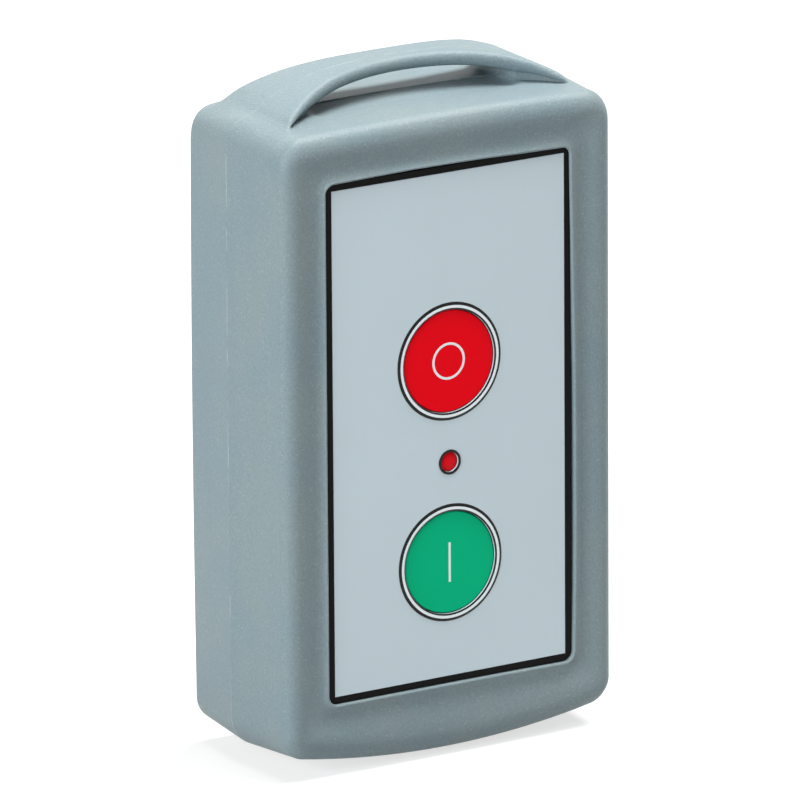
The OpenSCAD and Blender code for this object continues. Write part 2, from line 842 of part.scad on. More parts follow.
resistor_shares = [-0.32, -0.24, -0.16, 0.16, 0.24, 0.32];
resistor_row_shares = [-0.14, -0.36];
resistor_l_share = 1.3;
resistor_w_share = 0.8;
resistor_h_share = 0.35;
resistor_l = board_t * resistor_l_share;
resistor_w = board_t * resistor_w_share;
resistor_h = board_t * resistor_h_share;
module resistors() {
    color("black") on_label() for (x = resistor_shares, z = resistor_row_shares)
        block(resistor_w, resistor_l, board_depth - resistor_h, resistor_h, board_w * x, board_h * z);
}

// Battery holder and cells
spring_d_share = 0.67;
cell_front = board_back + holder_wall + cell_fit;
cell_d = shell_back - shell_wall - cell_room - cell_front;
spring_d = cell_d * spring_d_share;
contact_w = cell_d - 2 * contact_in;
bay_w = cell_d + 2 * cell_fit;
bay_h = cell_l + spring_l + 2 * contact_t + 2 * hole_fit;
bay_x = (bay_w + holder_wall) / 2;
holder_z = -holder_low;
holder_w = 2 * bay_w + 3 * holder_wall;
holder_h = bay_h + 2 * holder_wall;
holder_side_share = 0.75;
holder_d = holder_wall + cell_d * holder_side_share;
cell_depth = cell_front + cell_d / 2;

module battery_holder() {
    color("dimgray") on_label() difference() {
        block(holder_w, holder_h, board_back, holder_d, 0, holder_z);
        for (s = [-1, 1]) block(bay_w, bay_h, board_back + holder_wall, holder_d, s * bay_x, holder_z);
    }
}

// A cell that points up for 1 and down for -1
module cell(way) {
    translate([-way * bay_x, cell_depth, holder_z + way * (bay_h / 2 - contact_t - hole_fit)])
        mirror([0, 0, way > 0 ? 0 : 1]) {
            translate([0, 0, -nub_l]) cylinder(d = nub_d, h = nub_l);
            translate([0, 0, -cell_l]) cylinder(d = cell_d, h = cell_l - nub_l);
        }
}

module left_cell() {
    color("darkorange") on_label() cell(1);
}
module right_cell() {
    color("darkorange") on_label() cell(-1);
}

module battery_contacts() {
    color("gold") on_label() for (s = [-1, 1], e = [-1, 1])
        translate([
            s * bay_x - contact_w / 2, cell_depth - contact_w / 2,
            holder_z + e * bay_h / 2 - (e > 0 ? contact_t : 0)
        ])
            cube([contact_w, contact_w, contact_t]);
}

// A spring stands on its plate and narrows towards its cell
spring_sides = 6;
spring_rings = 8;
spring_narrow_share = 0.7;
spring_rise = spring_l - spring_wire - 2 * hole_fit;

wire_r = spring_wire / 2;

// One ring of the spring's wire, at a share of its length
function spring_ring(s) =
    let (
        turn = 360 * spring_turns * s,
        r = (spring_d / 2 - wire_r) * (1 - (1 - spring_narrow_share) * s),
        z = wire_r + hole_fit + spring_rise * s
    )
    [for (k = [0:spring_sides - 1]) let (a = -360 * k / spring_sides, out = r + wire_r * cos(a))
        [out * cos(turn), out * sin(turn), z + wire_r * sin(a)]];

module battery_spring() {
    steps = spring_turns * spring_rings;
    loft([for (i = [0:steps]) spring_ring(i / steps)]);
}

module battery_springs() {
    color("silver") on_label() for (way = [-1, 1])
        translate([-way * bay_x, cell_depth, holder_z - way * (bay_h / 2 - contact_t)])
            mirror([0, 0, way > 0 ? 0 : 1]) battery_spring();
}

rubber_boot();
front_shell();
rear_shell();
case_seal();
case_screws();
overlay_film();
stop_ring();
start_ring();
stop_ring_line();
start_ring_line();
led_ring();
status_led();
stop_button();
stop_symbol();
stop_plunger();
start_button();
start_symbol();
start_plunger();
circuit_board();
board_screws();
stop_switch();
start_switch();
switch_domes();
microcontroller();
radio_module();
loop_antenna();
crystal();
capacitors();
resistors();
battery_holder();
left_cell();
right_cell();
battery_springs();
battery_contacts();
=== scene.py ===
import math

import bmesh
import bpy
import numpy as np
from mathutils import Matrix, Vector
from mathutils.kdtree import KDTree


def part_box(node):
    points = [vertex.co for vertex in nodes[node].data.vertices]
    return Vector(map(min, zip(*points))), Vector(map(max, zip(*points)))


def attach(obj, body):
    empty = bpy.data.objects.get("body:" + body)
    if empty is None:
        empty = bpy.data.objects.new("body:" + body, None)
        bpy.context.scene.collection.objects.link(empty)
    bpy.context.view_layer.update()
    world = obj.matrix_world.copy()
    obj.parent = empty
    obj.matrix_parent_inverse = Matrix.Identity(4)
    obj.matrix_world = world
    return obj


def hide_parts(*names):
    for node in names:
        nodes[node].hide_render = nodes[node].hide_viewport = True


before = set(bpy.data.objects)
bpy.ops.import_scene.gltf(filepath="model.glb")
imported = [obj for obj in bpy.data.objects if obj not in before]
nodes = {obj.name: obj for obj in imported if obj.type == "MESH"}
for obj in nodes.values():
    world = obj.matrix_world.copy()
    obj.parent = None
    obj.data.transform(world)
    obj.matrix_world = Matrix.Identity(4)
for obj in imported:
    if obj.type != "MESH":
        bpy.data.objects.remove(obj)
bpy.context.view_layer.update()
mm = 0.001
print("frame loaded:", len(nodes), "nodes")

filmLow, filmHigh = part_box("overlay_film")
bootLow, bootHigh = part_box("rubber_boot")

# Sizes shared by the pieces, in millimetres, measured from the middle of the label's face:
# x to the right, depth into the case, z up. labelPlace moves them to the part's own frame.
label = {
    "width": (filmHigh.x - filmLow.x) / mm, "height": (filmHigh.z - filmLow.z) / mm,
    "middleHeight": (filmHigh.z + filmLow.z) / 2 / mm, "faceDepth": filmLow.y / mm,
    "border": 1.0, "bootFit": 0.1,
}


# Points given as x, depth and z round the label's middle, moved to the part's frame in metres
def labelPlace(points):
    points = np.asarray(points, float)
    moved = points + np.array([0, label["faceDepth"], label["middleHeight"]])
    return moved * mm


# A mesh object from points and faces; faces meeting at less than the sharp angle are smoothed
def meshPiece(name, points, faces, sharpAngle=35):
    mesh = bpy.data.meshes.new(name)
    mesh.from_pydata(np.asarray(points).tolist(), [], faces)
    mesh.validate()
    piece = bpy.data.objects.new(name, mesh)
    bpy.context.scene.collection.objects.link(piece)
    mesh.shade_smooth()
    mesh.set_sharp_from_angle(angle=math.radians(sharpAngle))
    return piece


# Quads between rings of equal count: ring i point j joins ring i+1, closed round each ring, with a
# cap on the first ring and on the last
def ringFaces(ringCount, pointCount):
    start = np.arange(pointCount)
    after = (start + 1) % pointCount
    base = np.arange(ringCount - 1)[:, None] * pointCount
    quads = np.stack([base + start, base + after, base + pointCount + after, base + pointCount + start], -1)
    faces = quads.reshape(-1, 4).tolist()
    faces.append(start[::-1].tolist())
    faces.append((start + (ringCount - 1) * pointCount).tolist())
    return faces


# The modifiers of a piece turned into its own mesh
def applyModifiers(piece):
    graph = bpy.context.evaluated_depsgraph_get()
    mesh = bpy.data.meshes.new_from_object(piece.evaluated_get(graph))
    piece.modifiers.clear()
    old = piece.data
    piece.data = mesh
    bpy.data.meshes.remove(old)


# Camera at the photograph's viewing angle: lengths in millimetres, but for the clipping in metres
cameraView = {
    "azimuthDegrees": -32.1223, "elevationDegrees": 15.9219, "rollDegrees": -0.3678,
    "distance": 1811.10, "lens": 570.91, "sensor": 36, "target": [-8.310, 0.051, 5.033],
    "clipStart": 0.05, "clipEnd": 50,
}


def makeCamera():
    data = bpy.data.cameras.new("photoCamera")
    camera = bpy.data.objects.new("photoCamera", data)
    bpy.context.scene.collection.objects.link(camera)
    azimuth = math.radians(cameraView["azimuthDegrees"])
    elevation = math.radians(cameraView["elevationDegrees"])
    roll = math.radians(cameraView["rollDegrees"])
    level = math.cos(elevation)
    back = Vector((math.sin(azimuth) * level, -math.cos(azimuth) * level, math.sin(elevation)))
    right = Vector((math.cos(azimuth), math.sin(azimuth), 0))
    up = back.cross(right)
    rolledRight = right * math.cos(roll) + up * math.sin(roll)
    rolledUp = up * math.cos(roll) - right * math.sin(roll)
    place = Vector(labelPlace(cameraView["target"])) + back * cameraView["distance"] * mm
    turn = Matrix((rolledRight, rolledUp, back)).transposed().to_4x4()
    camera.matrix_world = Matrix.Translation(place) @ turn
    data.sensor_width = cameraView["sensor"]
    data.lens = cameraView["lens"]
    data.clip_start = cameraView["clipStart"]
    data.clip_end = cameraView["clipEnd"]
    bpy.context.scene.camera = camera


makeCamera()
print("camera placed")


# A shader node with its settings; each input is a number, a colour or another node's socket
def addNode(tree, kind, inputs=None, **settings):
    node = tree.nodes.new(kind)
    for key, value in settings.items():
        setattr(node, key, value)
    for key, value in (inputs or {}).items():
        if isinstance(value, bpy.types.NodeSocket):
            tree.links.new(value, node.inputs[key])
        else:
            node.inputs[key].default_value = value
    return node


def groupNode(tree, group, inputs):
    return addNode(tree, "ShaderNodeGroup", inputs, node_tree=group)


def mathNode(tree, operation, first, second=0.0, clamp=False):
    node = addNode(tree, "ShaderNodeMath", {0: first, 1: second}, operation=operation)
    node.use_clamp = clamp
    return node.outputs[0]


def mixNode(tree, share, first, second):
    node = addNode(tree, "ShaderNodeMix", {"Factor": share, "A": first, "B": second}, data_type="RGBA")
    return node.outputs["Result"]


# A smooth step from 0 at the low value to 1 at the high value
def rampNode(tree, value, low, high):
    node = addNode(tree, "ShaderNodeMapRange", {"Value": value, "From Min": low, "From Max": high})
    node.interpolation_type = "SMOOTHSTEP"
    return node.outputs["Result"]


# An sRGB colour from 0 to 255 as the linear colour that a shader takes
def colour(red, green, blue):
    shares = np.array([red, green, blue]) / 255
    linear = np.where(shares <= 0.04045, shares / 12.92, ((shares + 0.055) / 1.055) ** 2.4)
    return (*linear.tolist(), 1.0)


def newGroup(name, inputs, outputs):
    group = bpy.data.node_groups.new(name, "ShaderNodeTree")
    for socketName, kind, value in inputs:
        socket = group.interface.new_socket(socketName, in_out="INPUT", socket_type=kind)
        if value is not None:
            socket.default_value = value
    for socketName, kind in outputs:
        group.interface.new_socket(socketName, in_out="OUTPUT", socket_type=kind)
    entry = group.nodes.new("NodeGroupInput")
    leave = group.nodes.new("NodeGroupOutput")
    return group, entry.outputs, leave.inputs


# Grain: noise of a given size in millimetres that tilts the normal by a given depth
def makeGrainGroup():
    group, entry, leave = newGroup(
        "surfaceGrain",
        [("Vector", "NodeSocketVector", None), ("Size", "NodeSocketFloat", 0.2),
         ("Depth", "NodeSocketFloat", 0.01), ("Roughness", "NodeSocketFloat", 0.6)],
        [("Value", "NodeSocketFloat"), ("Normal", "NodeSocketVector")],
    )
    scale = mathNode(group, "DIVIDE", 1 / mm, entry["Size"])
    noise = addNode(group, "ShaderNodeTexNoise", {
        "Vector": entry["Vector"], "Scale": scale, "Detail": 3.0, "Roughness": entry["Roughness"]
    })
    depth = mathNode(group, "MULTIPLY", entry["Depth"], mm)
    bump = addNode(group, "ShaderNodeBump", {
        "Height": noise.outputs["Fac"], "Distance": depth, "Strength": 1.0
    })
    group.links.new(noise.outputs["Fac"], leave["Value"])
    group.links.new(bump.outputs["Normal"], leave["Normal"])
    return group


# Tone: a colour made lighter and darker by slow noise of a given size in millimetres
def makeToneGroup():
    group, entry, leave = newGroup(
        "toneDrift",
        [("Vector", "NodeSocketVector", None), ("Color", "NodeSocketColor", (0.5, 0.5, 0.5, 1)),
         ("Size", "NodeSocketFloat", 12.0), ("Amount", "NodeSocketFloat", 0.08)],
        [("Color", "NodeSocketColor")],
    )
    scale = mathNode(group, "DIVIDE", 1 / mm, entry["Size"])
    noise = addNode(group, "ShaderNodeTexNoise", {"Vector": entry["Vector"], "Scale": scale, "Detail": 2.0})
    swing = mathNode(group, "SUBTRACT", noise.outputs["Fac"], 0.5)
    change = mathNode(group, "MULTIPLY", swing, mathNode(group, "MULTIPLY", entry["Amount"], 2.0))
    gain = mathNode(group, "ADD", change, 1.0)
    tinted = addNode(group, "ShaderNodeVectorMath", {0: entry["Color"], 3: gain}, operation="SCALE")
    group.links.new(tinted.outputs["Vector"], leave["Color"])
    return group


# Specks: small round dots scattered one to a cell, with some cells left empty
def makeSpeckGroup():
    group, entry, leave = newGroup(
        "scatteredSpecks",
        [("Vector", "NodeSocketVector", None), ("Spacing", "NodeSocketFloat", 1.5),
         ("Width", "NodeSocketFloat", 0.12), ("Share", "NodeSocketFloat", 0.5)],
        [("Mask", "NodeSocketFloat")],
    )
    scale = mathNode(group, "DIVIDE", 1 / mm, entry["Spacing"])
    cells = addNode(group, "ShaderNodeTexVoronoi", {"Vector": entry["Vector"], "Scale": scale})
    width = mathNode(group, "DIVIDE", entry["Width"], entry["Spacing"])
    chance = addNode(group, "ShaderNodeSeparateColor", {"Color": cells.outputs["Color"]})
    size = mathNode(group, "MULTIPLY", width, chance.outputs["Green"])
    edge = mathNode(group, "SUBTRACT", size, cells.outputs["Distance"])
    dot = mathNode(group, "MULTIPLY", mathNode(group, "DIVIDE", edge, width), 3.0, clamp=True)
    kept = mathNode(group, "LESS_THAN", chance.outputs["Red"], entry["Share"])
    group.links.new(mathNode(group, "MULTIPLY", dot, kept), leave["Mask"])
    return group


grainGroup = makeGrainGroup()
toneGroup = makeToneGroup()
speckGroup = makeSpeckGroup()


# A new material with its shader and its Object coordinates; constants go on the shader's own sockets
def newMaterial(name, constants):
    material = bpy.data.materials.new(name)
    material.use_nodes = True
    tree = material.node_tree
    tree.nodes.clear()
    output = tree.nodes.new("ShaderNodeOutputMaterial")
    shader = addNode(tree, "ShaderNodeBsdfPrincipled", constants)
    tree.links.new(shader.outputs["BSDF"], output.inputs["Surface"])
    vector = tree.nodes.new("ShaderNodeTexCoord").outputs["Object"]
    return material, tree, shader, vector


# Grain in a shader's normal and in its roughness, which swings about its usual value
def addGrain(tree, shader, vector, rough, size, depth, roughSwing=0.12):
    grain = groupNode(tree, grainGroup, {"Vector": vector, "Size": size, "Depth": depth})
    swing = mathNode(tree, "MULTIPLY", mathNode(tree, "SUBTRACT", grain.outputs["Value"], 0.5), roughSwing)
    tree.links.new(mathNode(tree, "ADD", swing, rough), shader.inputs["Roughness"])
    tree.links.new(grain.outputs["Normal"], shader.inputs["Normal"])


# The usual finish of a moulded or plated piece: drifting tone, and grain of a size and depth in mm
def grainedFinish(name, base, rough, grainSize, grainDepth, drift=0.06, driftSize=9.0, **constants):
    named = {key.replace("_", " "): value for key, value in constants.items()}
    material, tree, shader, vector = newMaterial(name, named)
    tone = groupNode(tree, toneGroup, {"Vector": vector, "Color": base, "Size": driftSize, "Amount": drift})
    tree.links.new(tone.outputs["Color"], shader.inputs["Base Color"])
    addGrain(tree, shader, vector, rough, grainSize, grainDepth)
    return material


# Rubber boot, in millimetres: its outline and walls, the rounded front edge with the dished frame
# and the lip, the seam, the sides' bow, the ends' rounding and the sunk floor of the strap's slot
boot = {
    "width": (bootHigh.x - bootLow.x) / mm, "height": 96.5, "depth": (bootHigh.y - bootLow.y) / mm,
    "foot": bootLow.z / mm - label["middleHeight"], "rimProud": 0.5,
    "bottomArc": 139.0, "topArc": 680.0, "corner": 4.8, "windowCorner": 1.4,
    "partingDepth": 13.8, "frontDraft": 0.7, "backDraft": 0.92, "wall": 2.9, "backWall": 2.2,
    "backRound": 1.0, "rimIn": 2.2, "rimRound": 2.2, "lip": 2.0, "lipGap": 0.03, "lipEase": 1.6,
    "dishLow": 0.5, "dishIn": 2.0, "dishSwing": 0.6, "ridgeProud": 0.5, "ridgeIn": 0.3, "ridgePower": 2.6,
    "seamHeight": 0.03, "seamHalf": 0.11, "seamFoot": 0.33, "seamMean": 0.45,
    "seamWaves": [(0.5, 0.31, 1.2), (0.4, 0.83, 0.0), (0.25, 2.1, 0.0)],
    "sideBow": 0.36, "bowAcross": 6.0, "bowStart": 3.0,
    "endsIn": 0.6, "lowEndShare": 1.5, "earlyShare": 0.2, "endsReach": 11.0, "endsEase": 7.0,
    "slotSink": 0.45, "slotStep": 0.14, "sinkPast": 0.4, "sinkAcross": 1.6,
    "sinkStart": 6.2, "sinkFall": 2.8, "sinkEnd": 25.0, "sinkRise": 5.0,
    "joinReach": 2.6, "joinRounds": 36, "joinWeight": 0.5, "sharpAngle": 40,
}
# How many steps each stretch of the outlines and of the walls is divided into
bootSteps = {
    "arch": 96, "corner": 20, "side": 90, "backRound": 8, "backSide": 11, "frontSide": 18,
    "frontRound": 18, "dish": 16, "ridge": 14, "lipRound": 8,
}
halfWidth = boot["width"] / 2
topHeight = boot["foot"] + boot["height"]
backDepth = boot["depth"] - boot["rimProud"]
windowHalfWidth = label["width"] / 2 + label["border"] + label["bootFit"]
windowHalfHeight = label["height"] / 2 + label["border"] + label["bootFit"]
quarterTurn = math.pi / 2

# Carrying strap, in millimetres: its crest and its front and back arcs, the slot, the rounds of its
# four long edges, the raised right shoulder, and the web beside the slot with its front roll
strap = {
    "rise": 5.0, "fall": 7.4, "squareShare": 0.35, "thickness": 2.2, "front": 11.4, "middleWidth": 6.6,
    "frontArc": 44.0, "backArc": 58.0, "inset": 1.9, "slot": 34.6, "slotGap": 1e-4, "leastHeight": 2.3,
    "topFrontRound": 1.15, "topBackRound": 0.9, "lowBackRound": 0.35, "lowFrontRound": 0.85,
    "rightBackLift": 0.38, "rightFrontLift": -0.1, "shoulderStart": 17.5, "shoulderReach": 7.5,
    "creaseEnd": 24.2, "webIn": 0.5, "webEarly": 0.4, "webEnd": 24.6, "rollThin": 0.6,
    "cutSpare": 0.01, "cutOut": 1.5, "cutDown": 6.0,
}
strapSteps = {"slot": 47, "past": 26, "round": 8, "web": 24, "webRound": 5}


# Eases from 0 to 1 with level ends, as half a cosine wave
def ease(share):
    return (1 - np.cos(np.pi * share)) / 2


# Eases from 0 at the start to 1 at the reach past it
def easeFrom(value, start, reach):
    return ease(np.clip((value - start) / reach, 0, 1))


# Where a corner arc meets an arch and a side: the corner's middle height, and the arch's end angle
def cornerPlace(half, apex, sign, arc, corner):
    across = half - corner
    if arc == 0:
        return across, apex - sign * corner, 0.0
    height = apex - sign * arc + sign * math.sqrt((arc - corner) ** 2 - across ** 2)
    return across, height, math.asin(across / (arc - corner))


# Closed outline in x and z: a bottom arch, a corner arc, a straight side, and so on round;
# each arch point is (R sin a, apex -+ R (1 - cos a)), each corner point its middle plus r (cos a, sin a)
def closedOutline(half, low, high, lowArc, highArc, corner):
    across, lowZ, lowAngle = cornerPlace(half, low, -1, lowArc, corner)
    _, highZ, highAngle = cornerPlace(half, high, 1, highArc, corner)
    share = np.linspace(-1, 1, bootSteps["arch"] + 1)
    side = np.linspace(0, 1, bootSteps["side"] + 1)

    def arch(apex, sign, arc, angle, place):
        if arc == 0:
            return np.column_stack([across * place, np.full_like(place, apex)])
        return np.column_stack([arc * np.sin(angle * place), apex - sign * arc * (1 - np.cos(angle * place))])

    def bend(x, z, start, end):
        turn = np.linspace(start, end, bootSteps["corner"] + 1)[1:-1]
        return np.column_stack([x + corner * np.cos(turn), z + corner * np.sin(turn)])

    return np.concatenate([
        arch(low, -1, lowArc, lowAngle, share),
        bend(across, lowZ, lowAngle - quarterTurn, 0),
        np.column_stack([np.full_like(side, half), lowZ + (highZ - lowZ) * side]),
        bend(across, highZ, 0, quarterTurn - highAngle),
        arch(high, 1, highArc, highAngle, -share),
        bend(-across, highZ, quarterTurn + highAngle, 2 * quarterTurn),
        np.column_stack([np.full_like(side, -half), highZ + (lowZ - highZ) * side]),
        bend(-across, lowZ, 2 * quarterTurn, 3 * quarterTurn - lowAngle),
    ])


def bodyOutline(inset):
    return closedOutline(
        halfWidth - inset, boot["foot"] + inset, topHeight - inset,
        boot["bottomArc"] - inset, boot["topArc"] - inset, max(boot["corner"] - inset, boot["windowCorner"]),
    )


# The window's outline, grown outwards
def windowOutline(grow):
    return closedOutline(
        windowHalfWidth + grow, -windowHalfHeight - grow, windowHalfHeight + grow, 0, 0,
        boot["windowCorner"] + grow,
    )


# The body's outline with its long sides bowed out, by nothing at the front and most at the back
def bowedOutline(inset, depth):
    outline = bodyOutline(inset)
    side = np.clip((np.abs(outline[:, 0]) - halfWidth + boot["bowAcross"]) / boot["bowAcross"], 0, 1)
    back = np.clip((depth - boot["bowStart"]) / (backDepth - boot["bowStart"]), 0, 1)
    middle, half = (boot["foot"] + topHeight) / 2, boot["height"] / 2
    level = np.clip(1 - ((outline[:, 1] - middle) / half) ** 2, 0, 1)
    outline[:, 0] += np.sign(outline[:, 0]) * side * back * level * boot["sideBow"]
    return outline


# The body's outline with its upper and lower ends drawn in by a further amount, the lower end more
def endedOutline(inset, further):
    outline = bodyOutline(inset)
    further = further * np.where(outline[:, 1] < 0, boot["lowEndShare"], 1)
    fromEnd = np.minimum(topHeight - outline[:, 1], outline[:, 1] - boot["foot"])
    near = easeFrom(boot["endsReach"] - fromEnd, 0, boot["endsEase"])
    outline[:, 1] -= np.sign(outline[:, 1]) * further * near
    return outline


# How far the soft lip really lies past the window's straight edge: places along each side, and the
# distance outwards there, in millimetres
lipEdge = {
    "right": ([-37, -28, -20, -4, 4, 12, 20, 28, 37], [0.1, 0.3, 0.38, 0.36, 0.3, 0.15, 0.02, -0.12, -0.25]),
    "top": ([-20, -12, -6, 0, 6, 12, 20], [-0.08, 0.1, 0.2, 0.16, 0.08, -0.1, -0.25]),
    "bottom": ([-20, 0, 6, 12, 20], [0.0, 0.0, 0.02, 0.06, 0.12]),
    "left": ([-37, 0, 37], [0.06, 0.08, 0.06]),
}


# The lip's edge; without its overhang it never lies inside the window
def lipOutline(grow, overhang=True):
    outline = windowOutline(grow)
    x, z = outline.T
    wide, high, reach = windowHalfWidth + grow, windowHalfHeight + grow, boot["lipEase"] + grow
    nearSide = np.clip((np.abs(x) - wide + reach) / reach, 0, 1)
    nearEnd = np.clip((np.abs(z) - high + reach) / reach, 0, 1)
    acrossShift = np.where(x > 0, np.interp(z, *lipEdge["right"]), np.interp(z, *lipEdge["left"]))
    upShift = np.where(z > 0, np.interp(x, *lipEdge["top"]), np.interp(x, *lipEdge["bottom"]))
    if not overhang:
        acrossShift, upShift = np.maximum(acrossShift, 0), np.maximum(upShift, 0)
    return outline + np.column_stack([np.sign(x) * nearSide * acrossShift, np.sign(z) * nearEnd * upShift])


# How far the sides draw in at a depth: in step with the distance from the parting line
def draftAt(depth):
    frontEdge = boot["rimRound"] - boot["rimProud"]
    backEdge = backDepth - boot["backRound"]
    toFront = (boot["partingDepth"] - depth) / (boot["partingDepth"] - frontEdge) * boot["frontDraft"]
    toBack = (depth - boot["partingDepth"]) / (backEdge - boot["partingDepth"]) * boot["backDraft"]
    return max(toFront, toBack, 0)


# An outline at a depth, with the floor of the strap's slot sunk, a little less behind the parting line
def bootRing(outline, depth):
    inSlot = easeFrom(strap["slot"] / 2 + boot["sinkPast"] - np.abs(outline[:, 0]), 0, boot["sinkAcross"])
    sunk = boot["slotSink"] * easeFrom(depth, boot["sinkStart"], boot["sinkFall"])
    sunk -= boot["slotStep"] * (depth > boot["partingDepth"])
    sunk *= easeFrom(boot["sinkEnd"] - depth, 0, boot["sinkRise"])
    height = outline[:, 1] - sunk * inSlot * (outline[:, 1] > 0)
    return np.column_stack([outline[:, 0], np.full(len(outline), depth), height])


# The outside from the back edge to the front edge: a round, the drafted sides, and the thin seam
# between them, which stands higher in some places than in others
def sideRings():
    seam, half, foot = boot["partingDepth"], boot["seamHalf"], boot["seamFoot"]
    frontEdge = boot["rimRound"] - boot["rimProud"]
    rings = []
    for turn in np.linspace(0, quarterTurn, bootSteps["backRound"] + 1):
        depth = backDepth - boot["backRound"] * (1 - math.cos(turn))
        inset = boot["backDraft"] + boot["backRound"] * (1 - math.sin(turn))
        rings.append(bootRing(bowedOutline(inset, depth), depth))
    backDepths = np.linspace(backDepth - boot["backRound"], seam + foot, bootSteps["backSide"] + 1)[1:]
    for depth in [*backDepths, seam + half]:
        rings.append(bootRing(bowedOutline(draftAt(depth), depth), depth))
    crest = bowedOutline(0, seam)
    along = np.cumsum(np.linalg.norm(np.diff(crest, axis=0, prepend=crest[-1:]), axis=1))
    waves = sum(size * np.sin(along * pace + start) for size, pace, start in boot["seamWaves"])
    proud = boot["seamHeight"] * np.clip(boot["seamMean"] + waves, 0, 1)
    rings.append(bootRing(crest + crest / np.linalg.norm(crest, axis=1)[:, None] * proud[:, None], seam))
    rings.append(bootRing(bowedOutline(draftAt(seam - half), seam - half), seam - half))
    for depth in np.linspace(seam - foot, frontEdge, bootSteps["frontSide"] + 1):
        draft = draftAt(depth)
        share = boot["earlyShare"] * (seam - depth) / (seam - frontEdge)
        outline = bowedOutline(draft, depth)
        outline[:, 1] += share * (endedOutline(draft, boot["endsIn"]) - bodyOutline(draft))[:, 1]
        rings.append(bootRing(outline, depth))
    return rings


# The frame round the window: a rounded front edge (a quarter ellipse), a dish that falls and levels
# out, a ridge that rises more steeply as it nears the window, and the ridge's own round
def frameRings():
    early, dishDepth = boot["earlyShare"], boot["dishLow"] - boot["rimProud"]
    rings = []
    for turn in np.linspace(0, quarterTurn, bootSteps["frontRound"] + 1)[1:]:
        inset = boot["frontDraft"] + boot["rimIn"] * (1 - math.cos(turn))
        depth = boot["rimRound"] * (1 - math.sin(turn)) - boot["rimProud"]
        rings.append(bootRing(endedOutline(inset, boot["endsIn"] * (1 + early - math.cos(turn))), depth))
    crest = endedOutline(boot["frontDraft"] + boot["rimIn"], (1 + early) * boot["endsIn"])
    dish = windowOutline(boot["dishIn"])
    for share in np.linspace(0, 1, bootSteps["dish"] + 1)[1:]:
        fall = share - boot["dishSwing"] * math.sin(2 * math.pi * share) / (2 * math.pi)
        rings.append(bootRing(crest + (dish - crest) * share, boot["dishLow"] * fall - boot["rimProud"]))
    ridge = lipOutline(boot["ridgeIn"])
    for share in np.linspace(0, 1, bootSteps["ridge"] + 1)[1:]:
        depth = dishDepth - (dishDepth + boot["ridgeProud"]) * share ** boot["ridgePower"]
        rings.append(bootRing(dish + (ridge - dish) * share, depth))
    for turn in np.linspace(0, quarterTurn, bootSteps["lipRound"] + 1)[1:]:
        depth = boot["ridgeIn"] * (1 - math.cos(turn)) - boot["ridgeProud"]
        rings.append(bootRing(lipOutline(boot["ridgeIn"] * (1 - math.sin(turn))), depth))
    return rings


# The boot's shell as rings from the back edge round the front to the back wall's inside
def bootRings():
    inside = [
        (lipOutline(0), -boot["lipGap"]), (lipOutline(0, False), -boot["lipGap"]),
        (lipOutline(0, False), boot["lip"]), (bodyOutline(boot["wall"]), boot["lip"]),
        (bodyOutline(boot["wall"]), backDepth - boot["backWall"]),
    ]
    return np.array(sideRings() + frameRings() + [bootRing(outline, depth) for outline, depth in inside])


# The strap's top falls by a square and a fourth power law, and its front edge is an arc seen from above
def strapTop(x):
    share = x / (halfWidth - strap["inset"])
    law = strap["squareShare"] * share ** 2 + (1 - strap["squareShare"]) * share ** 4
    return topHeight + strap["rise"] - strap["fall"] * law


def strapFront(x):
    return strap["front"] - strap["frontArc"] + np.sqrt(strap["frontArc"] ** 2 - x ** 2)


# What is cut out below the strap's front roll beside the slot, so that the web behind it lies back:
# the roll thins and the web comes forward towards the crease's end
def webCut(side):
    start, fillet = strap["slot"] / 2 - strap["webEarly"], strap["lowBackRound"]
    x = side * np.linspace(start, strap["webEnd"], strapSteps["web"] + 1)
    share = (np.abs(x) - start) / (strap["webEnd"] - start)
    thick = 1 - strap["rollThin"] * share
    under = strapTop(x) - (strap["thickness"] + strap["cutSpare"]) * thick
    radius = strap["lowFrontRound"] * thick
    front, down = strapFront(x), under - strap["cutDown"]
    web = front + radius + fillet + strap["webIn"] * (1 - share ** 2)
    turn = np.linspace(0, quarterTurn, strapSteps["webRound"] + 1)
    profile = [(front - strap["cutOut"], down), (front - strap["cutOut"], under + radius)]
    profile += [(front + radius * (1 - math.cos(a)), under + radius * (1 - math.sin(a))) for a in turn]
    profile += [(web - fillet * (1 - math.sin(a)), under - fillet * (1 - math.cos(a))) for a in turn]
    profile.append((web, down))
    return np.stack([np.stack([x, depth, height], -1) for depth, height in profile], 1)


# The middle of the boot's top wall, which the strap's underside follows past the slot
def wallMiddle(x):
    half = boot["wall"] / 2
    arc, corner = boot["topArc"] - half, boot["corner"] - half
    across, cornerZ, _ = cornerPlace(halfWidth - half, topHeight - half, 1, arc, corner)
    past = np.abs(x) - across
    archZ = topHeight - half - arc + np.sqrt(arc ** 2 - x ** 2)
    bendZ = cornerZ + np.sqrt(np.maximum(0, corner ** 2 - past ** 2))
    return np.where(past > 0, bendZ, archZ)


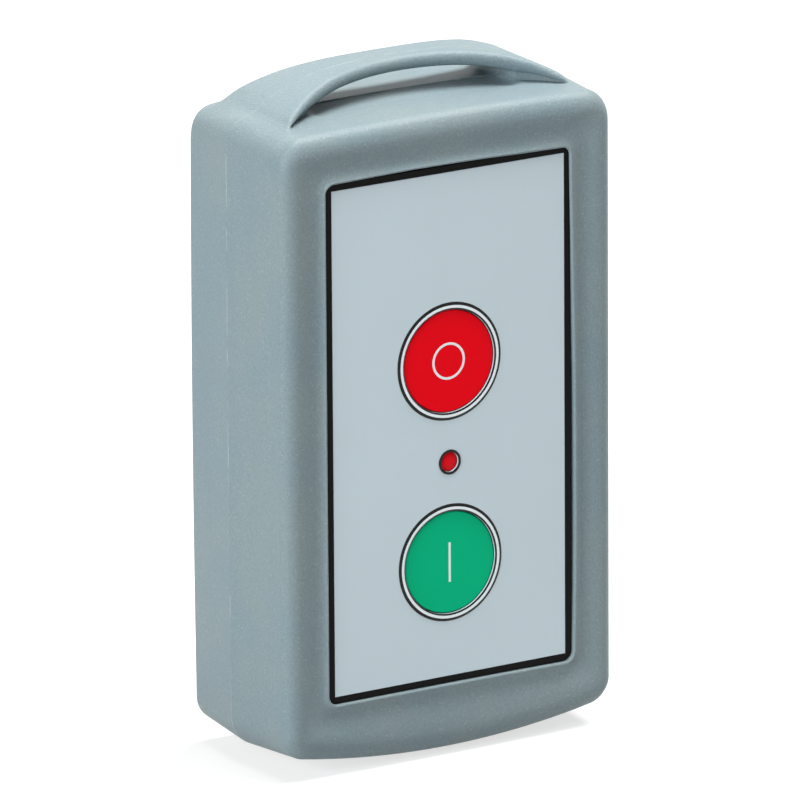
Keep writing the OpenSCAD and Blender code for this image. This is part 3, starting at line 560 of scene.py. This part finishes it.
# The strap as rounded sections along x: its back edge is an arc seen from above, its underside bends
# down at the slot's ends, and the right shoulder stands a little higher at its back
def strapRings():
    half = halfWidth - strap["inset"] / 2
    slotHalf, slotRound = strap["slot"] / 2, strap["thickness"] / 3
    turn = np.linspace(0, quarterTurn, strapSteps["round"] + 1)
    inner = np.linspace(0, slotHalf - slotRound, strapSteps["slot"] + 1)
    bend = slotHalf - slotRound * (1 - np.sin(turn[1:]))
    outer = np.linspace(slotHalf, half, strapSteps["past"] + 1)[1:]
    right = np.concatenate([inner, bend[:-1], [slotHalf - strap["slotGap"]], outer])
    x = np.concatenate([-right[:0:-1], right])
    far = np.abs(x)
    top, front = strapTop(x), strapFront(x)
    back = strap["front"] + strap["middleWidth"] + strap["backArc"] - np.sqrt(strap["backArc"] ** 2 - x ** 2)
    back = np.minimum(back, backDepth - strap["inset"])
    lift = np.clip((far - slotHalf) / slotRound + 1, 0, 1)
    under = top - strap["thickness"] - slotRound * (1 - np.sqrt(1 - lift ** 2))
    low = np.where(far >= slotHalf, np.minimum(wallMiddle(x), top - strap["leastHeight"]), under)
    rightward = easeFrom(x, strap["shoulderStart"], strap["shoulderReach"])
    backTop = top + strap["rightBackLift"] * rightward
    frontTop = top + strap["rightFrontLift"] * rightward
    rounds = [
        (front, low, strap["lowFrontRound"], 1, 1, 2 * quarterTurn),
        (back, low, strap["lowBackRound"], -1, 1, 3 * quarterTurn),
        (back, backTop, strap["topBackRound"], -1, -1, 0),
        (front, frontTop, strap["topFrontRound"], 1, -1, quarterTurn),
    ]
    sections = []
    for edge, height, radius, inward, inwardUp, start in rounds:
        depth = (edge + inward * radius)[:, None] + radius * np.cos(start + turn)
        level = (height + inwardUp * radius)[:, None] + radius * np.sin(start + turn)
        sections.append(np.stack([np.broadcast_to(x[:, None], depth.shape), depth, level], -1))
    return np.concatenate(sections, 1)


# Softens the mesh near the line where two solids were joined: each point moves towards the mean of
# its neighbours by a weight that falls from its most on the line to 0 at the reach
def softenJoin(mesh, joinPoints):
    count = len(mesh.vertices)
    points = np.empty(count * 3)
    mesh.vertices.foreach_get("co", points)
    points = points.reshape(-1, 3)
    edges = np.empty(len(mesh.edges) * 2, int)
    mesh.edges.foreach_get("vertices", edges)
    first, second = edges.reshape(-1, 2).T
    tree = KDTree(len(joinPoints))
    for index, point in enumerate(joinPoints):
        tree.insert(point, index)
    tree.balance()
    near = np.array([tree.find(point)[2] for point in points])
    weight = boot["joinWeight"] * ease(np.clip(1 - near / (boot["joinReach"] * mm), 0, 1))[:, None]
    degree = np.bincount(first, minlength=count) + np.bincount(second, minlength=count)
    for _ in range(boot["joinRounds"]):
        total = np.zeros_like(points)
        np.add.at(total, first, points[second])
        np.add.at(total, second, points[first])
        points += weight * (total / degree[:, None] - points)
    mesh.vertices.foreach_set("co", points.ravel())
    mesh.update()


# Faces turned outwards all over
def outward(mesh):
    shape = bmesh.new()
    shape.from_mesh(mesh)
    bmesh.ops.recalc_face_normals(shape, faces=shape.faces)
    shape.to_mesh(mesh)
    shape.free()


# One solid joined to another or cut by it; the second is used up
def combine(piece, other, operation):
    modifier = piece.modifiers.new("combine", "BOOLEAN")
    modifier.operation, modifier.solver, modifier.object = operation, "EXACT", other
    applyModifiers(piece)
    bpy.data.objects.remove(other)


# A solid from rings, facing outwards, whose faces carry the mark of the piece that they come from
def markedSolid(name, rings, sources, mark):
    solid = meshPiece(name, labelPlace(rings.reshape(-1, 3)), ringFaces(*rings.shape[:2]))
    outward(solid.data)
    for source in sources:
        solid.data.materials.append(source)
    solid.data.polygons.foreach_set("material_index", np.full(len(solid.data.polygons), mark))
    return solid


# The points between faces of different marks, which is the line where the strap meets the body
def joinLine(mesh):
    marks = np.empty(len(mesh.polygons), int)
    mesh.polygons.foreach_get("material_index", marks)
    corners = np.empty(len(mesh.loops), int)
    mesh.loops.foreach_get("vertex_index", corners)
    sizes = np.empty(len(mesh.polygons), int)
    mesh.polygons.foreach_get("loop_total", sizes)
    marks = np.repeat(marks, sizes)
    both = np.intersect1d(corners[marks == 0], corners[marks == 1])
    return [mesh.vertices[index].co.copy() for index in both]


# The body with the strap joined to it, softly but for the sharp crease beside the slot
def makeBoot():
    sources = [bpy.data.materials.new("fromBody"), bpy.data.materials.new("fromStrap")]
    body = markedSolid("rubberBoot", bootRings(), sources, 0)
    band = markedSolid("strapBand", strapRings(), sources, 1)
    for side in (-1, 1):
        combine(band, markedSolid("webCut", webCut(side), sources, 1), "DIFFERENCE")
    combine(body, band, "UNION")
    mesh = body.data
    line = joinLine(mesh)
    creaseDepth = (strap["front"] + label["faceDepth"]) * mm
    soft = [point for point in line if point.y > creaseDepth or abs(point.x) > strap["creaseEnd"] * mm]
    print("boot joined:", len(mesh.vertices), "points,", len(line), "on the join,", len(soft), "softened")
    softenJoin(mesh, soft)
    mesh.polygons.foreach_set("material_index", np.zeros(len(mesh.polygons), int))
    mesh.materials.clear()
    for source in sources:
        bpy.data.materials.remove(source)
    mesh.shade_smooth()
    mesh.set_sharp_from_angle(angle=math.radians(boot["sharpAngle"]))
    return body


# The rubber's colours, and its clouds, grain, specks and seam line, with sizes in millimetres
rubber = {
    "cool": colour(114, 131, 138), "warm": colour(120, 134, 138), "speck": colour(206, 216, 218),
    "seam": colour(206, 212, 210), "cloudScale": 70.0, "cloudRamp": (0.3, 0.7),
    "grainSize": 0.32, "grainDepth": 0.07, "grainTone": 0.24, "rough": 0.46, "roughSwing": 0.2,
    "largeSpecks": {"Spacing": 1.2, "Width": 0.14, "Share": 0.35},
    "smallSpecks": {"Spacing": 0.42, "Width": 0.15, "Share": 0.5}, "smallTone": 0.55, "speckTone": 0.26,
    "seamRamp": (0.03, 0.1), "gapScale": 260.0, "gapRamp": (0.45, 0.62), "seamTone": 0.32,
    "shader": {
        "Subsurface Weight": 0.12, "Subsurface Radius": (1.0, 1.0, 1.0), "Subsurface Scale": 0.0012,
        "Specular IOR Level": 0.25,
    },
}


# Matt moulded rubber: fine grain, a slow drift of tone, pale specks, and a thin broken seam line
# where the depth is within a hair of the parting line
def makeRubber():
    material, tree, shader, vector = newMaterial("moulded rubber", rubber["shader"])
    clouds = addNode(tree, "ShaderNodeTexNoise", {
        "Vector": vector, "Scale": rubber["cloudScale"], "Detail": 2.0
    })
    cloudy = rampNode(tree, clouds.outputs["Fac"], *rubber["cloudRamp"])
    tone = groupNode(tree, toneGroup, {
        "Vector": vector, "Color": mixNode(tree, cloudy, rubber["cool"], rubber["warm"]),
        "Size": rubber["grainSize"], "Amount": rubber["grainTone"],
    })
    large = groupNode(tree, speckGroup, {"Vector": vector, **rubber["largeSpecks"]}).outputs["Mask"]
    small = groupNode(tree, speckGroup, {"Vector": vector, **rubber["smallSpecks"]}).outputs["Mask"]
    dots = mathNode(tree, "MAXIMUM", large, mathNode(tree, "MULTIPLY", small, rubber["smallTone"]))
    dots = mathNode(tree, "MULTIPLY", dots, rubber["speckTone"])
    speckled = mixNode(tree, dots, tone.outputs["Color"], rubber["speck"])
    place = addNode(tree, "ShaderNodeSeparateXYZ", {"Vector": vector})
    seamDepth = (boot["partingDepth"] + label["faceDepth"]) * mm
    away = mathNode(tree, "ABSOLUTE", mathNode(tree, "SUBTRACT", place.outputs["Y"], seamDepth))
    line = mathNode(tree, "SUBTRACT", 1.0, rampNode(tree, away, *[edge * mm for edge in rubber["seamRamp"]]))
    gaps = addNode(tree, "ShaderNodeTexNoise", {
        "Vector": vector, "Scale": rubber["gapScale"], "Detail": 3.0
    })
    line = mathNode(tree, "MULTIPLY", line, rampNode(tree, gaps.outputs["Fac"], *rubber["gapRamp"]))
    seamed = mixNode(tree, mathNode(tree, "MULTIPLY", line, rubber["seamTone"]), speckled, rubber["seam"])
    tree.links.new(seamed, shader.inputs["Base Color"])
    addGrain(
        tree, shader, vector, rubber["rough"], rubber["grainSize"], rubber["grainDepth"],
        roughSwing=rubber["roughSwing"],
    )
    return material


rubberBoot = makeBoot()
rubberBoot.data.materials.append(makeRubber())
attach(rubberBoot, "case")
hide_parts("rubber_boot")
print("boot made:", len(rubberBoot.data.polygons), "faces")


# Finishes of the pieces that stay as the frame has them: colour, roughness, grain size and depth
finishes = {
    "case": grainedFinish(
        "black case plastic", colour(15, 15, 16), 0.45, 0.25, 0.006, Specular_IOR_Level=0.06,
    ),
    "film": grainedFinish(
        "label film", colour(190, 204, 212), 0.5, 0.12, 0.003, drift=0.025, driftSize=22.0,
        Specular_IOR_Level=0.15,
    ),
    "rimBlack": grainedFinish("black rim", colour(12, 12, 13), 0.35, 0.3, 0.003, Specular_IOR_Level=0.2),
    "white": grainedFinish(
        "white print", colour(222, 230, 234), 0.5, 0.15, 0.003, drift=0.02, Specular_IOR_Level=0.1,
    ),
    "red": grainedFinish(
        "red cap", colour(228, 2, 22), 0.5, 0.14, 0.004, drift=0.04, Specular_IOR_Level=0.06,
    ),
    "green": grainedFinish(
        "green cap", colour(0, 172, 122), 0.5, 0.14, 0.004, drift=0.04, Specular_IOR_Level=0.06,
    ),
    "light": grainedFinish("red light lens", colour(214, 2, 20), 0.35, 0.6, 0.004, Specular_IOR_Level=0.1),
    "seal": grainedFinish("black seal rubber", colour(16, 16, 16), 0.7, 0.2, 0.01),
    "steel": grainedFinish("zinc plated steel", colour(186, 188, 190), 0.34, 0.2, 0.004, Metallic=1.0),
    "switch": grainedFinish("switch plastic", colour(38, 38, 40), 0.45, 0.2, 0.005),
    "board": grainedFinish(
        "green solder resist", colour(20, 92, 52), 0.35, 0.9, 0.012, drift=0.12, driftSize=3.0,
        Coat_Weight=0.4,
    ),
    "chip": grainedFinish("moulded epoxy", colour(26, 26, 27), 0.6, 0.12, 0.006),
    "can": grainedFinish("satin metal can", colour(190, 191, 193), 0.38, 0.4, 0.005, Metallic=1.0),
    "spring": grainedFinish("nickel plated wire", colour(205, 205, 206), 0.22, 0.3, 0.003, Metallic=1.0),
    "gold": grainedFinish("gold flash", colour(222, 178, 92), 0.3, 0.3, 0.003, Metallic=1.0),
    "jacket": grainedFinish("printed cell jacket", colour(196, 104, 22), 0.35, 0.5, 0.004, Coat_Weight=0.5),
}
nodeFinish = {
    "front_shell": "case", "rear_shell": "case", "case_seal": "seal", "case_screws": "steel",
    "overlay_film": "film", "stop_ring": "rimBlack", "start_ring": "rimBlack",
    "stop_ring_line": "white", "start_ring_line": "white", "led_ring": "rimBlack", "status_led": "light",
    "stop_button": "red", "start_button": "green", "stop_symbol": "white", "start_symbol": "white",
    "stop_plunger": "switch", "start_plunger": "switch", "circuit_board": "board", "board_screws": "steel",
    "stop_switch": "switch", "start_switch": "switch", "switch_domes": "spring", "microcontroller": "chip",
    "radio_module": "can", "loop_antenna": "gold", "crystal": "can", "capacitors": "can",
    "resistors": "chip", "battery_holder": "case", "left_cell": "jacket", "right_cell": "jacket",
    "battery_springs": "spring", "battery_contacts": "gold",
}
for nodeName, finishName in nodeFinish.items():
    mesh = nodes[nodeName].data
    mesh.materials.clear()
    mesh.materials.append(finishes[finishName])
print("finishes given to", len(nodeFinish), "nodes")


# Floor, world and lamps, in metres; each lamp has its place, size, power and tint, and faces the middle
studio = {
    "worldStrength": 0.05, "floorColour": (0.4, 0.4, 0.4, 1.0), "floorGlow": 0.68, "floorHalf": 3.0,
    "coolLight": (0.95, 0.99, 1.0), "warmLight": (1.0, 0.985, 0.955), "middle": (0.0, 0.0, 0.05),
    "lamps": [
        ("leftLamp", (-0.95, -0.2, 0.32), 0.4, 8.3, "coolLight"),
        ("leftFrontLamp", (-0.8, -0.5, 0.4), 0.5, 3.3, "coolLight"),
        ("topLamp", (0.0, -0.15, 1.0), 0.5, 4.6, "warmLight"),
        ("topRightLamp", (0.35, -0.05, 0.95), 0.5, 14.4, "warmLight"),
        ("rightLamp", (0.95, -0.15, 0.35), 0.5, 1.2, "coolLight"),
        ("backLamp", (0.2, 0.9, 0.7), 0.5, 1.2, "coolLight"),
    ],
}


# 1 for camera, mirror and glass rays, and 0 for the rays that light the object
def seenRays(tree):
    rays = tree.nodes.new("ShaderNodeLightPath").outputs
    seen = mathNode(tree, "ADD", rays["Is Camera Ray"], rays["Is Glossy Ray"])
    return mathNode(tree, "ADD", seen, rays["Is Transmission Ray"], clamp=True)


# A floor that takes the shadow, with a glow for the seen rays alone
def makeFloor():
    half = studio["floorHalf"]
    corners = [(-half, -half, 0), (half, -half, 0), (half, half, 0), (-half, half, 0)]
    floor = meshPiece("floor", corners, [[0, 1, 2, 3]])
    material = bpy.data.materials.new("studio floor")
    material.use_nodes = True
    tree = material.node_tree
    tree.nodes.clear()
    output = tree.nodes.new("ShaderNodeOutputMaterial")
    matt = addNode(tree, "ShaderNodeBsdfDiffuse", {"Color": studio["floorColour"]})
    strength = mathNode(tree, "MULTIPLY", seenRays(tree), studio["floorGlow"])
    glow = addNode(tree, "ShaderNodeEmission", {"Color": (1, 1, 1, 1), "Strength": strength})
    both = tree.nodes.new("ShaderNodeAddShader")
    tree.links.new(matt.outputs[0], both.inputs[0])
    tree.links.new(glow.outputs[0], both.inputs[1])
    tree.links.new(both.outputs[0], output.inputs["Surface"])
    floor.data.materials.append(material)


# A world that is white to the seen rays and lights the object only a little
def makeWorld():
    world = bpy.data.worlds.new("studio world")
    bpy.context.scene.world = world
    world.use_nodes = True
    tree = world.node_tree
    tree.nodes.clear()
    output = tree.nodes.new("ShaderNodeOutputWorld")
    strength = addNode(tree, "ShaderNodeMapRange", {
        "Value": seenRays(tree), "To Min": studio["worldStrength"], "To Max": 1.0
    }).outputs["Result"]
    background = addNode(tree, "ShaderNodeBackground", {"Color": (1, 1, 1, 1), "Strength": strength})
    tree.links.new(background.outputs[0], output.inputs["Surface"])


def makeLamps():
    middle = Vector(studio["middle"])
    for name, place, size, power, light in studio["lamps"]:
        data = bpy.data.lights.new(name, "AREA")
        data.shape, data.size, data.energy, data.color = "SQUARE", size, power, studio[light]
        lamp = bpy.data.objects.new(name, data)
        bpy.context.scene.collection.objects.link(lamp)
        lamp.location = place
        lamp.rotation_mode = "QUATERNION"
        lamp.rotation_quaternion = (middle - Vector(place)).to_track_quat("-Z", "Y")


makeFloor()
makeWorld()
makeLamps()
bpy.context.scene.view_settings.view_transform = "Standard"
print("studio lit")
